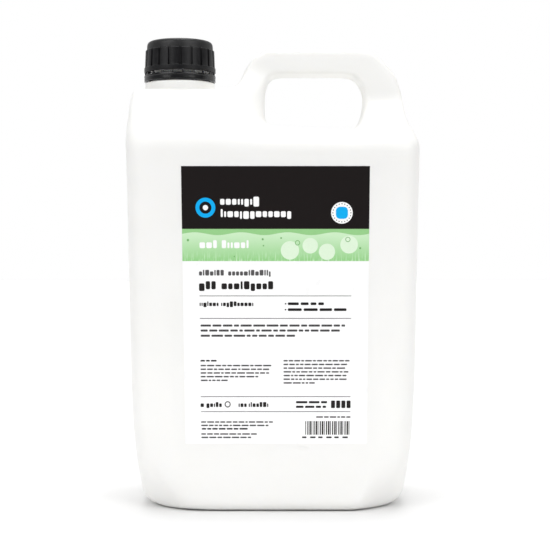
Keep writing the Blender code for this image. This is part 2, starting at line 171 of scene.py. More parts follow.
# Label film and its print, measured on the label from its upper left corner
LABEL_TOP_CENTRE, LABEL_BOTTOM_CENTRE = 1.45 * MM, 1.8 * MM
LABEL_TOP_WIDTH, LABEL_BOTTOM_WIDTH = 105.8 * MM, 101.6 * MM
LABEL_TOP, LABEL_BOTTOM = label_high.z, label_low.z
LABEL_HEIGHT = LABEL_TOP - LABEL_BOTTOM
FILM_BACK = -(HALF_DEPTH - PANEL_DEPTH) - 0.02 * MM
FILM_THICKNESS = 0.1 * MM
INK_THICKNESS = 0.012 * MM
INK_STEP = 0.018 * MM
PRINT_SEED = 11
HEADER_BOTTOM, BAND_BOTTOM = 35.2, 53.2  # mm down the label, as are the wave's level and swing
WAVE_LEVEL, WAVE_SWING = 37.9, 0.8
WAVE_FIRST_CREST, WAVE_SPACING = 7.0, 26.4  # mm across the label
WAVE_STEPS = 90
EMBLEM = (13.4, 23.3)  # mm across and down, as are the badge and the round mark
BADGE = (90.3, 26.2)
ROUND_MARK = (24.9, 133.4)
BADGE_DASHES = 20

# Colours of the plastics and the foam, as a shader needs them
MILKY_LIGHT = (0.905, 0.899, 0.878, 1.0)
MILKY_DARK = (0.89, 0.884, 0.861, 1.0)
# warmer tint of the thick plastic near the handle, made lighter as painted light for the upper surfaces lit
# from above
MILKY_WARM_LIT_TOP = (0.945, 0.94, 0.912, 1.0)
MILKY_PLAIN = (0.9, 0.9, 0.885, 1.0)  # for a viewer that skips the mottling
BLACK_DEEP = (0.005, 0.005, 0.006, 1.0)
BLACK_RUBBED = (0.009, 0.009, 0.010, 1.0)
# greyer black for the cap's domed top: painted light, standing in for the light the dome catches from above
BLACK_LIT_DOME = (0.021, 0.021, 0.022, 1.0)
FOAM_LIGHT = (0.89, 0.89, 0.86, 1.0)
# darker foam for the middle of each cell: painted shade in the hollows the bump makes
FOAM_HOLLOW_SHADE = (0.8, 0.8, 0.77, 1.0)
FOAM_PLAIN = (0.86, 0.86, 0.83, 1.0)  # for a viewer that skips the cells
FLOOR_COLOUR = (0.87, 0.87, 0.87, 1.0)

# Colours of the label, in display values from 0 to 255
HEADER_BLACK = (28, 24, 24)
SOFT_BLACK = (86, 84, 85)
GREY_INK = (72, 70, 71)
WHITE_INK = (250, 250, 250)
BLUE = (0, 172, 240)
GREEN_DARK = (150, 205, 138)
GREEN_LIGHT = (203, 234, 196)
GREEN_MIDDLE = (146, 206, 134)
GREEN_PALE = (222, 242, 216)
GREEN_DEEP = (118, 180, 108)
FILM_WHITE = (249, 249, 249)

# Camera and stage
CAMERA_PLACE = (1.2 * MM, -0.9, 0.133)
CAMERA_LENS = 98.18
FLOOR_FRONT, FLOOR_BACK, FLOOR_HALF_WIDTH = -0.8, 30.0, 15.0
LIGHTS = [  # name, azimuth, elevation, strength, spread; all angles in degrees
    ("overhead", 180, 80, 0.52, 35),
    ("front_left", -42, 32, 0.42, 45),
    ("front_right", 42, 32, 0.42, 45),
]
WORLD_FRONT, WORLD_BACK = 0.16, 0.68
WORLD_TURN = (-0.1, 0.5)  # y of the directions between which one becomes the other


# ---------------------------------------------------------------- small tools


def ease(value, start, end):
    """0 up to start and 1 from end, with a smooth rise between."""
    share = min(1.0, max(0.0, (value - start) / (end - start)))
    return share * share * (3 - 2 * share)


def depth_inside(x, z, centre, half_size, corner):
    """How far a point is inside a rectangle with round corners; below zero outside it."""
    over_x = abs(x - centre[0]) - (half_size[0] - corner)
    over_z = abs(z - centre[1]) - (half_size[1] - corner)
    outside = math.hypot(max(over_x, 0.0), max(over_z, 0.0))
    return corner - outside - min(max(over_x, over_z), 0.0)


def new_object(name, builder):
    mesh = bpy.data.meshes.new(name)
    builder.to_mesh(mesh)
    builder.free()
    thing = bpy.data.objects.new(name, mesh)
    bpy.context.scene.collection.objects.link(thing)
    return thing


def settled(thing):
    """The same object with its modifiers worked into its mesh."""
    bpy.context.view_layer.update()
    graph = bpy.context.evaluated_depsgraph_get()
    mesh = bpy.data.meshes.new_from_object(thing.evaluated_get(graph))
    thing.modifiers.clear()
    thing.data = mesh
    return thing


def settled_in_place(thing):
    """The same object with its place worked into its mesh."""
    thing.data.transform(Matrix.Translation(thing.location))
    thing.location = (0.0, 0.0, 0.0)
    return thing


def combined(thing, other, operation):
    """A Boolean of two objects, worked into the first; the second is removed."""
    boolean = thing.modifiers.new(operation.lower(), "BOOLEAN")
    boolean.operation = operation
    boolean.solver = "EXACT"
    boolean.object = other
    settled(thing)
    bpy.data.objects.remove(other)
    return thing


def shade_round(thing, angle=40):
    thing.data.shade_smooth()
    thing.data.set_sharp_from_angle(angle=math.radians(angle))


def rounded_path(corners, step, arc_pieces=5):
    """A path through (radius, height, rounding) corners, its bends eased and its runs divided."""
    points = [Vector(corner[:2]) for corner in corners]
    path = []
    for place, (radius, height, rounding) in enumerate(corners):
        here = points[place]
        if rounding == 0.0:
            path.append(here)
            continue
        before = points[place - 1] - here
        after = points[(place + 1) % len(points)] - here
        start = here + before.normalized() * min(rounding, before.length * 0.48)
        end = here + after.normalized() * min(rounding, after.length * 0.48)
        for piece in range(arc_pieces + 1):
            share = piece / arc_pieces
            path.append(start * (1 - share) ** 2 + here * 2 * share * (1 - share) + end * share**2)
    divided = []
    for first, second in zip(path, path[1:]):
        pieces = max(1, round((second - first).length / step))
        divided += [first.lerp(second, piece / pieces) for piece in range(pieces)]
    divided.append(path[-1])
    return [tuple(point) for point in divided]


def lathe(name, path, angles, shape=None, is_ring=False):
    """A closed skin round the z axis, through (radius, height) points down its outer side.

    shape(angle, radius, height, place) may alter the radius; place counts along the path.
    """
    builder = bmesh.new()
    loops = []
    for place, (radius, height) in enumerate(path):
        if radius == 0.0:
            loops.append([builder.verts.new((0.0, 0.0, height))])
            continue
        loop = []
        for angle in angles:
            reach = shape(angle, radius, height, place) if shape else radius
            loop.append(builder.verts.new((reach * math.cos(angle), reach * math.sin(angle), height)))
        loops.append(loop)
    following = loops[1:] + loops[:1] if is_ring else loops[1:]
    for upper, lower in zip(loops, following):
        for column in range(len(angles)):
            after = (column + 1) % len(angles)
            corners = [upper[column % len(upper)], lower[column % len(lower)]]
            corners += [lower[after % len(lower)], upper[after % len(upper)]]
            builder.faces.new(list(dict.fromkeys(corners)))
    thing = new_object(name, builder)
    thing.location.x = NECK_X
    return settled_in_place(thing)


def even_angles(count):
    return [math.tau * column / count for column in range(count)]


def thread_height(angle, height, start):
    """How much of the thread's ridge there is at a point of a wall, from 0 to 1."""
    ridge = 0.0
    for turn in range(math.ceil(THREAD_TURNS)):
        wound = angle + math.tau * turn
        if wound > THREAD_TURNS * math.tau:
            continue
        offset = abs(height - start - THREAD_PITCH * wound / math.tau)
        flank = 1 - ease(offset, THREAD_TIP / 2, THREAD_BASE / 2)
        left = THREAD_TURNS * math.tau - wound
        ridge = max(ridge, flank * ease(wound, 0.0, THREAD_RUN_OUT) * ease(left, 0.0, THREAD_RUN_OUT))
    return ridge


# ---------------------------------------------------------------- the bottle


def cage_rows():
    """For each row of the cage, its height and the x of its columns; None where it has none."""
    rows = []
    for height, half_width, step in BODY_EDGES:
        inner = [min(x, half_width - step - LEAST_COLUMN) for x in BODY_COLUMNS]
        rows.append((height, [-half_width, step - half_width, *inner, half_width - step, half_width]))
    for height, left, right, step in SHOULDER_EDGES:
        rows.append((height, [left, left + step, *BODY_COLUMNS, right - step, right]))
    for height, columns in HANDLE_ROWS:
        rows.append((height, [None] * POST_COLUMN + [x * MM for x in columns]))
    return rows


def is_filled(column, row):
    """Whether the cell whose lower left corner is this one belongs to the bottle."""
    if not (0 <= column < LAST_COLUMN and 0 <= row < TOP_ROW):
        return False
    if row >= SHOULDER_ROW and column < POST_COLUMN:
        return False
    return not (GAP_FIRST_COLUMN <= column < GAP_LAST_COLUMN and SADDLE_ROW <= row < GAP_TOP_ROW)


def half_depth(column, row, height):
    """How far the front stands from the mould's parting plane at a corner of the cage."""
    if row <= RIDGE_ROW:
        return HALF_DEPTH
    if row >= GAP_TOP_ROW:
        return HANDLE_HALF_DEPTH
    risen = height - RIDGE_HEIGHT
    if column <= POST_COLUMN:
        return HALF_DEPTH - risen / math.tan(SHOULDER_SLOPE)
    if row == SADDLE_ROW:
        return SADDLE_FRONT
    if column == GAP_FIRST_COLUMN:
        return (HANDLE_HALF_DEPTH + HALF_DEPTH - risen / math.tan(SHOULDER_SLOPE)) / 2
    share = min(1.0, risen / (HANDLE_ROOT - RIDGE_HEIGHT))
    return HALF_DEPTH + (HANDLE_HALF_DEPTH - HALF_DEPTH) * share


def cage_corner(rows, column, row, layer):
    height, columns = rows[row]
    depth = half_depth(column, row, height)
    x = columns[column]
    share = LAYER_SHARES[layer]
    if row == SADDLE_ROW and GAP_FIRST_COLUMN <= column <= GAP_LAST_COLUMN:
        height = GAP_BOTTOM - SADDLE_DROP * share**2 + SADDLE_TILT * (GAP_RIGHT - x)
        x -= SADDLE_ROUNDING * (column == GAP_LAST_COLUMN)
    if row == 0 and 1 < column < LAST_COLUMN - 1 and 0.0 < share < 1.0:
        share = BASE_EDGE_SHARE
    if row in BASE_CORNER_PULL and column in (0, LAST_COLUMN) and share == 1.0:
        pull = BASE_CORNER_PULL[row]
        return Vector((x - math.copysign(pull, x), pull - depth, height))
    return Vector((x, -depth * share, height))


def build_half_cage():
    """The front half of the bottle's form, open at the parting plane y = 0."""
    rows = cage_rows()
    builder = bmesh.new()
    made = {}

    def corner(column, row, layer):
        key = (column, row, layer)
        if key not in made:
            made[key] = builder.verts.new(cage_corner(rows, *key))
        return made[key]

    front = len(LAYER_SHARES) - 1
    for row in range(TOP_ROW):
        for column in range(LAST_COLUMN):
            if not is_filled(column, row):
                continue
            corners = [(column, row), (column + 1, row), (column + 1, row + 1), (column, row + 1)]
            builder.faces.new([corner(*place, front) for place in corners])
            beyond = [(column, row - 1), (column + 1, row), (column, row + 1), (column - 1, row)]
            for side, cell in enumerate(beyond):
                if is_filled(*cell):
                    continue
                start, end = corners[side], corners[(side + 1) % 4]
                for layer in range(front):
                    near = [corner(*end, layer + 1), corner(*start, layer + 1)]
                    far = [corner(*start, layer), corner(*end, layer)]
                    builder.faces.new(near + far)
    return builder


def moulded_form(name, levels, inset=0.0):
    """The bottle's outer form without its neck, or the same form moved inwards by inset."""
    thing = new_object(name, build_half_cage())
    mirror = thing.modifiers.new("other half", "MIRROR")
    mirror.use_axis = (False, True, False)
    mirror.merge_threshold = 0.01 * MM
    smooth = thing.modifiers.new("smooth form", "SUBSURF")
    smooth.levels = smooth.render_levels = levels
    if inset:
        inwards = thing.modifiers.new("wall", "DISPLACE")
        inwards.strength = -inset
        inwards.mid_level = 0.0
    return settled(thing)


def add_lines(builder, axis, places, wanted):
    """Divides the wanted faces along planes across an axis, to give fine detail its points."""
    across = Vector([float(axis == other) for other in range(3)])
    for place in places:
        faces = [face for face in builder.faces if wanted(face)]
        points = {point for face in faces for point in face.verts}
        edges = {edge for face in faces for edge in face.edges}
        cut = [*points, *edges, *faces]
        bmesh.ops.bisect_plane(builder, geom=cut, dist=WELD, plane_co=across * place, plane_no=across)


def lines_round(centre, half_size, offsets):
    """Places of lines along both edges of a rectangle, on one axis."""
    insets = [half_size - offset * MM for offset in offsets]
    return [centre - inset for inset in insets] + [centre + inset for inset in insets]


def is_front_or_back(face):
    return abs(face.normal.y) > 0.97 and abs(face.calc_center_median().y) > HALF_DEPTH - FLAT_DEPTH


def is_base(face):
    return face.normal.z < -0.97 and face.calc_center_median().z < BASE_DEPTH + WALL


def is_by_the_seam(face):
    return min(abs(point.co.y) for point in face.verts) < 0.01 * MM


def is_by_the_dent(face):
    middle = face.calc_center_median()
    beside = abs(middle.x - DENT_CENTRE[0]) < DENT_SURROUND[0]
    level = abs(middle.z - DENT_CENTRE[1]) < DENT_SURROUND[1]
    return beside and level and middle.y < 0.0 and is_front_or_back(face)


def add_foot(builder, growth):
    """Raises the middle of the base into a shallow hollow, grown on each side by growth."""
    half_size = [size + growth for size in FOOT_HALF_SIZE]
    add_lines(builder, 0, lines_round(0.0, half_size[0], FOOT_LINES), is_base)
    add_lines(builder, 1, lines_round(0.0, half_size[1], FOOT_LINES), is_base)
    builder.normal_update()
    for point in builder.verts:
        if point.normal.z < -0.9 and point.co.z < BASE_DEPTH + WALL:
            inside = depth_inside(point.co.x, point.co.y, (0.0, 0.0), half_size, FOOT_CORNER)
            rise = ease(inside, 0.0, FOOT_SLOPE)
            point.co.z += FOOT_HEIGHT * rise
            if growth == 0.0 and abs(point.co.y) < 0.01 * MM:
                point.co.z -= PINCH_HEIGHT * rise


def add_surface_details(builder):
    """The label panels, the mould's seam, the slight waves of a blown wall and one small dent."""
    for place, axis in enumerate((0, 2)):
        lines = lines_round(PANEL_CENTRE[place], PANEL_HALF_SIZE[place], PANEL_LINES)
        add_lines(builder, axis, lines, is_front_or_back)
    seam_lines = [side * SEAM_HALF_WIDTH * share for side in (-1, 1) for share in (1.0, 0.5)]
    add_lines(builder, 1, seam_lines, is_by_the_seam)
    for place, axis in enumerate((0, 2)):
        reach = DENT_HALF_SIZE[place]
        lines = [DENT_CENTRE[place] + reach * (step / 5) for step in range(-6, 7)]
        add_lines(builder, axis, lines, is_by_the_dent)
    builder.normal_update()
    moves = []
    for point in builder.verts:
        x, y, z = point.co
        outwards = point.normal.copy()
        panel = 0.0
        dent = 0.0
        if abs(outwards.y) > 0.9 and abs(y) > HALF_DEPTH - FLAT_DEPTH:
            inside = depth_inside(x, z, PANEL_CENTRE, PANEL_HALF_SIZE, PANEL_CORNER)
            panel = ease(inside, -PANEL_EDGE, PANEL_EDGE)
            if y < 0.0:
                across = (x - DENT_CENTRE[0]) / DENT_HALF_SIZE[0]
                up = (z - DENT_CENTRE[1]) / DENT_HALF_SIZE[1]
                dent = 1 - ease(math.hypot(across, up), 0.0, 1.0)
        wave = (noise.noise(point.co / WAVE_LENGTH) + 1) / 2 * (1 - panel)
        seam = 1 - ease(abs(y), 0.0, SEAM_HALF_WIDTH)
        seam *= ease(z, *SEAM_START)
        moves.append(outwards * (SEAM_HEIGHT * seam - WAVE_HEIGHT * wave * ease(z, 0.0, WAVE_START)))
        moves[-1].y -= math.copysign(1.0, y) * (PANEL_DEPTH * panel + DENT_DEPTH * dent)
    for point, move in zip(builder.verts, moves):
        point.co += move


def edited(thing, *changes):
    """The object with its mesh put through each change."""
    builder = bmesh.new()
    builder.from_mesh(thing.data)
    for change in changes:
        change(builder)
    builder.to_mesh(thing.data)
    builder.free()
    return thing


def build_neck():
    """The neck as a solid plug with its rounded rim, thread, retaining bead and the collar it stands on."""
    corners = [
        (0.0, RIM_HEIGHT, 0.0),
        (NECK_RADIUS, RIM_HEIGHT, 0.6 * MM),
        (NECK_RADIUS, BEAD_TOP + 0.9 * MM, 0.5 * MM),
        (BEAD_RADIUS, BEAD_TOP, 0.3 * MM),
        (BEAD_RADIUS, BEAD_BOTTOM, 0.3 * MM),
        (NECK_RADIUS, BEAD_BOTTOM, 0.4 * MM),
        (NECK_RADIUS, COLLAR_TOP, 0.4 * MM),
        (COLLAR_RADIUS, COLLAR_TOP, 0.9 * MM),
        (COLLAR_RADIUS, SHOULDER_TOP, COLLAR_ROOT_ROUNDING),
        (COLLAR_RADIUS + COLLAR_ROOT_ROUNDING, SHOULDER_TOP - 0.25 * MM, 0.0),
        (COLLAR_RADIUS, NECK_ROOT, 0.0),
        (0.0, NECK_ROOT, 0.0),
    ]

    def shape(angle, radius, height, place):
        on_the_wall = abs(radius - NECK_RADIUS) < 0.05 * MM
        return radius + on_the_wall * THREAD_DEPTH * thread_height(angle, height, THREAD_START)

    return lathe("neck", rounded_path(corners, 0.35 * MM), even_angles(TURNED_COLUMNS), shape)


def build_cavity():
    """The inside of the bottle, with the bore of the neck."""
    cavity = edited(moulded_form("cavity", INNER_LEVELS, WALL), lambda builder: add_foot(builder, WALL))
    corners = [
        (0.0, RIM_HEIGHT + WALL, 0.0),
        (BORE_RADIUS + WALL, RIM_HEIGHT + WALL, 0.0),
        (BORE_RADIUS, RIM_HEIGHT - 0.5 * MM, 0.4 * MM),
        (BORE_RADIUS, COLLAR_TOP - WALL, 1.0 * MM),
        (COLLAR_RADIUS - WALL, COLLAR_TOP - WALL * 1.6, 1.0 * MM),
        (COLLAR_RADIUS - WALL, NECK_ROOT - WALL, 0.0),
        (0.0, NECK_ROOT - WALL, 0.0),
    ]
    bore = lathe("bore", rounded_path(corners, 3 * MM), even_angles(TURNED_COLUMNS))
    return combined(cavity, bore, "UNION")


def build_bottle():
    bottle = moulded_form("moulded_bottle", OUTER_LEVELS)
    edited(bottle, lambda builder: add_foot(builder, 0.0), add_surface_details)
    combined(bottle, build_neck(), "UNION")
    combined(bottle, build_cavity(), "DIFFERENCE")
    shade_round(bottle, 38)
    return bottle


# ---------------------------------------------------------------- the closure


def cap_angles():
    """Angles round the cap, close together across each groove and even across each panel."""
    angles = []
    panel = math.tau / CAP_PANELS
    edge = GROOVE_OFFSETS[-1] * MM / CAP_RADIUS_BOTTOM
    for groove in range(CAP_PANELS):
        middle = GROOVE_TURN - math.pi / 2 + panel * groove
        angles += [middle + offset * MM / CAP_RADIUS_BOTTOM for offset in GROOVE_OFFSETS]
        span = panel - 2 * edge
        angles += [middle + edge + span * (place + 1) / (PANEL_PLACES + 1) for place in range(PANEL_PLACES)]
    return [angle % math.tau for angle in angles]


def build_cap():
    """The cap: a domed top, twenty grip panels, a smooth band and an inner thread."""
    outer = [
        (0.0, cap_high.z, 0.0),
        (12.0 * MM, cap_high.z - 0.12 * MM, 2.0 * MM),
        (CAP_DOME_RADIUS - 0.15 * MM, cap_high.z - 0.5 * MM, 2.9 * MM),
        (CAP_DOME_RADIUS + 0.25 * MM, CAP_PANEL_TOP + 0.45 * MM, 0.35 * MM),
        (CAP_RADIUS_TOP, CAP_PANEL_TOP + 0.3 * MM, 0.5 * MM),
        (CAP_RADIUS_BOTTOM, CAP_BAND_TOP + 0.3 * MM, 0.2 * MM),
        (CAP_BAND_RADIUS, CAP_BAND_TOP - 0.05 * MM, 0.2 * MM),
        (CAP_BAND_RADIUS, cap_low.z, 0.35 * MM),
        (CAP_INNER_RADIUS + 0.3 * MM, cap_low.z, 0.2 * MM),
    ]
    inner = [
        (CAP_INNER_RADIUS, cap_low.z + 0.4 * MM, 0.2 * MM),
        (CAP_INNER_RADIUS, CAP_INNER_TOP, 0.5 * MM),
        (0.0, CAP_INNER_TOP, 0.0),
    ]
    outer_path = rounded_path(outer, 0.6 * MM, arc_pieces=7)
    inner_path = rounded_path(inner, 0.35 * MM)
    panel = math.tau / CAP_PANELS

    def shape(angle, radius, height, place):
        if place >= len(outer_path):
            start = THREAD_START + THREAD_PITCH / 2
            on_the_wall = abs(radius - CAP_INNER_RADIUS) < 0.05 * MM
            return radius - on_the_wall * THREAD_DEPTH * thread_height(angle, height, start)
        if radius <= GROOVE_RADIUS or height < CAP_BAND_TOP:
            return radius
        turn = (angle + math.pi / 2 - GROOVE_TURN) / panel
        offset = abs(turn - round(turn))
        away = offset * panel * CAP_RADIUS_BOTTOM
        floor = 1 - ease(away, GROOVE_HALF_WIDTH * 0.75, GROOVE_HALF_WIDTH * 1.2)
        deep = ease(height, CAP_BAND_TOP, CAP_BAND_TOP + 0.35 * MM)
        pillow = PILLOW * (1 - offset * 2) ** 2 * deep
        return radius - pillow - (radius - pillow - GROOVE_RADIUS) * floor * deep

    cap = lathe("ribbed_cap", outer_path + inner_path, cap_angles(), shape)
    shade_round(cap, 35)
    return cap


def build_ring():
    """The tamper ring with its inner lip, before its bridges are added."""
    corners = [
        (RING_INNER_RADIUS, RING_TOP, 0.15 * MM),
        (RING_RADIUS - 0.1 * MM, RING_TOP, 0.5 * MM),
        (RING_RADIUS, RING_TOP - 1.1 * MM, 0.3 * MM),
        (RING_RADIUS - 0.15 * MM, RING_TOP - 1.4 * MM, 0.2 * MM),
        (RING_RADIUS - 0.1 * MM, ring_low.z, 0.5 * MM),
        (RING_INNER_RADIUS, ring_low.z, 0.2 * MM),
        (RING_LIP_RADIUS, RING_LIP_TOP - 0.5 * MM, 0.2 * MM),
        (RING_LIP_RADIUS, RING_LIP_TOP, 0.15 * MM),
        (RING_INNER_RADIUS, RING_LIP_TOP, 0.1 * MM),
    ]
    path = rounded_path([*corners, corners[0]], 0.6 * MM)
    ring = lathe("seal_ring", path[:-1], even_angles(TURNED_COLUMNS), is_ring=True)
    return ring


def build_bridges():
    """Short tabs with rounded tops that stand on the ring's upper edge."""
    length, width = BRIDGE_SIZE
    foot = RING_TOP - 0.5 * MM
    height = ring_high.z - foot
    centre_radius = (RING_RADIUS + RING_INNER_RADIUS) / 2
    builder = bmesh.new()
    for bridge in range(BRIDGES):
        turn = Matrix.Rotation(math.tau * (bridge + 0.5) / BRIDGES, 4, "Z")
        place = Matrix.Translation((centre_radius, 0.0, foot + height / 2))
        size = Matrix.Diagonal((length, width, height, 1.0))
        bmesh.ops.create_cube(builder, size=1.0, matrix=turn @ place @ size)
    bridges = new_object("bridges", builder)
    bridges.location.x = NECK_X
    bevel = bridges.modifiers.new("rounded edges", "BEVEL")
    bevel.width = 0.2 * MM
    bevel.segments = 2
    return settled(settled_in_place(bridges))


def build_liner():
    """The foam wad, pressed in a little where it seals on the rim."""
    pressed = liner_low.z + 0.15 * MM
    corners = [
        (0.0, liner_high.z, 0.0),
        ((liner_high.x - liner_low.x) / 2, liner_high.z, 0.25 * MM),
        ((liner_high.x - liner_low.x) / 2, liner_low.z, 0.25 * MM),
        (NECK_RADIUS + 0.3 * MM, liner_low.z, 0.2 * MM),
        (NECK_RADIUS, pressed, 0.1 * MM),
        (BORE_RADIUS, pressed, 0.1 * MM),
        (BORE_RADIUS - 0.3 * MM, liner_low.z, 0.2 * MM),
        (0.0, liner_low.z, 0.0),
    ]
    liner = lathe("foam_wad", rounded_path(corners, 1.0 * MM), even_angles(TURNED_COLUMNS))
    shade_round(liner)
    return liner


# ---------------------------------------------------------------- the label and its print


def on_label(across, down):
    """The x and z of a point of the label, from millimetres across its top and down its side."""
    share = down * MM / LABEL_HEIGHT
    width = LABEL_TOP_WIDTH + (LABEL_BOTTOM_WIDTH - LABEL_TOP_WIDTH) * share
    centre = LABEL_TOP_CENTRE + (LABEL_BOTTOM_CENTRE - LABEL_TOP_CENTRE) * share
    return centre + (across * MM / LABEL_TOP_WIDTH - 0.5) * width, LABEL_TOP - down * MM


def prism(builder, outline, front, back, hole=None):
    """A thin closed solid from an outline on the label, with an optional hole in it."""

    def skins(points):
        places = [on_label(*point) for point in points]
        return [[builder.verts.new((x, depth, z)) for x, z in places] for depth in (front, back)]

    near, far = skins(outline)
    count = len(outline)
    for place in range(count):
        after = (place + 1) % count
        builder.faces.new((near[place], far[place], far[after], near[after]))
    if hole is None:
        builder.faces.new(near)
        builder.faces.new(reversed(far))
        return
    near_hole, far_hole = skins(hole)
    for place in range(count):
        after = (place + 1) % count
        builder.faces.new((near_hole[place], near_hole[after], far_hole[after], far_hole[place]))
        builder.faces.new((near[place], near[after], near_hole[after], near_hole[place]))
        builder.faces.new((far[place], far_hole[place], far_hole[after], far[after]))


def block(left, top, right, bottom, corner=0.0):
    """The outline of a rectangle with rounded corners."""
    corner = min(corner, (right - left) / 2.01, (bottom - top) / 2.01)
    if corner <= 0.0:
        return [(left, top), (left, bottom), (right, bottom), (right, top)]
    outline = []
    middles = [(left, top, 1, 1), (left, bottom, 1, -1), (right, bottom, -1, -1), (right, top, -1, 1)]
    for quarter, (x, y, inwards_x, inwards_y) in enumerate(middles):
        for step in range(4):
            turn = math.pi / 2 * (quarter + step / 3)
            reach_x, reach_y = corner * math.sin(turn), corner * math.cos(turn)
            outline.append((x + inwards_x * corner - reach_x, y + inwards_y * corner - reach_y))
    return kept_within(outline, left, top, right, bottom)


def kept_within(outline, left, top, right, bottom):
    """The outline with each point moved to the rectangle if rounding put it outside."""
    return [(min(right, max(left, x)), min(bottom, max(top, y))) for x, y in outline]


def disc(across, down, radius, points=28):
    turns = [math.tau * step / points for step in range(points)]
    return [(across - radius * math.sin(turn), down - radius * math.cos(turn)) for turn in turns]


def greeked_word(left, right, top, bottom, dice):
    """Rounded blocks that stand for the letters of a large word."""
    height = bottom - top
    blocks = []
    place = left
    while place < right - height * 0.3:
        width = min(height * dice.choice([0.35, 0.75, 0.85, 0.95]), right - place)
        raised = height * 0.38 * (dice.random() < 0.3)
        dropped = height * 0.3 * (dice.random() < 0.12)
        blocks.append(block(place, top - raised, place + width, bottom + dropped, height * 0.22))
        place += width + height * 0.22
    return blocks


def greeked_line(left, right, middle, height, dice):
    """Bars that stand for the words of a line of small print."""
    bars = []
    place = left
    while place < right - height:
        width = min(height * dice.uniform(1.6, 6.0), right - place)
        bars.append(block(place, middle - height / 2, place + width, middle + height / 2, height * 0.35))
        place += width + height * 0.75
    return bars


def print_piece(name, outlines, layer, material, rings=()):
    """All the marks of one ink, as thin closed solids in one piece that rides with the bottle."""
    back = FILM_BACK - FILM_THICKNESS - INK_STEP * layer + INK_STEP - INK_THICKNESS - 0.004 * MM
    front = back - INK_THICKNESS
    builder = bmesh.new()
    for outline in outlines:
        prism(builder, outline, front, back)
    for outline, hole in rings:
        prism(builder, outline, front, back, hole)
    bmesh.ops.recalc_face_normals(builder, faces=builder.faces)
    piece = new_object(name, builder)
    return finished(piece, material, "bottle", "front_label")


def wavy_edge(across):
    """How far down the label the light green's upper edge is."""
    return WAVE_LEVEL - WAVE_SWING * math.cos(math.tau * (across - WAVE_FIRST_CREST) / WAVE_SPACING)


def build_film():
    builder = bmesh.new()
    outline = block(0.0, 0.0, LABEL_TOP_WIDTH / MM, LABEL_HEIGHT / MM, 0.8)
    prism(builder, outline, FILM_BACK - FILM_THICKNESS, FILM_BACK)
    bmesh.ops.recalc_face_normals(builder, faces=builder.faces)
    return new_object("label_film", builder)


def small_print(dice):
    """The lines of small print, as (left, right, middle, x-height)."""
    lines = [(9.8, 92.6, 89.3, 1.15), (9.8, 89.6, 92.1, 1.15), (9.8, 63.9, 95.0, 1.15)]
    for row, right in enumerate([51.0, 49.0, 49.7, 43.4, 26.2]):
        lines.append((9.5, right, 111.7 + 2.07 * row, 0.8))
    for row, right in enumerate([95.7, 93.9, 93.1, 95.7, 93.6, 93.9, 75.3]):
        lines.append((57.3, right, 109.0 + 2.07 * row, 0.8))
    for row, right in enumerate([51.1, 48.5]):
        lines.append((9.4, right, 143.3 + 1.9 * row, 0.8))
    for row, right in enumerate([41.7, 38.4]):
        lines.append((9.4, right, 150.0 + 1.9 * row, 0.8))
    lines.append((76.2, 96.1, 140.5, 0.8))
    bars = []
    for left, right, middle, height in lines:
        bars += greeked_line(left, right, middle, height, dice)
    return bars


def bold_print(dice):
    """Headings, rules, the strip of quantities and the plain bar pattern."""
    marks = [block(9.4, row - 0.17, 96.0, row + 0.17) for row in (72.7, 85.3, 129.1, 137.5)]
    for left, right in ((9.2, 19.7), (22.0, 52.6)):
        marks += greeked_word(left, right, 65.7, 69.0, dice)
    for left, right in ((9.4, 20.2), (21.7, 40.1)):
        marks += greeked_word(left, right, 76.5, 78.4, dice)
    for row, right in ((77.1, 80.4), (80.4, 93.3)):
        marks += [disc(58.5, row, 0.45, 12)]
        marks += greeked_line(59.8, right, row, 1.5, dice)
    marks += greeked_line(9.5, 19.9, 109.0, 0.9, dice) + greeked_line(9.7, 36.4, 147.1, 0.9, dice)
    for left, right in ((9.2, 11.2), (12.6, 21.7), (31.2, 35.9), (37.1, 49.0)):
        marks += greeked_word(left, right, 132.9, 134.9, dice)
    marks += greeked_line(64.5, 82.5, 132.2, 1.2, dice) + greeked_line(64.5, 81.9, 134.8, 1.2, dice)
    for digit in range(4):
        left = 84.8 + 3.0 * digit
        marks.append(block(left, 131.3, left + 2.3, 135.5, 0.5))
    for bar in range(22):
        left = 69.9 + 1.2 * bar
        marks.append(block(left, 142.8, left + 0.45 + 0.22 * (bar % 3), 150.4))
    for group in range(6):
        left = 68.0 + 4.7 * group
        marks.append(block(left, 151.4, left + 2.6 + 0.6 * (group % 2), 152.3, 0.3))
    return marks


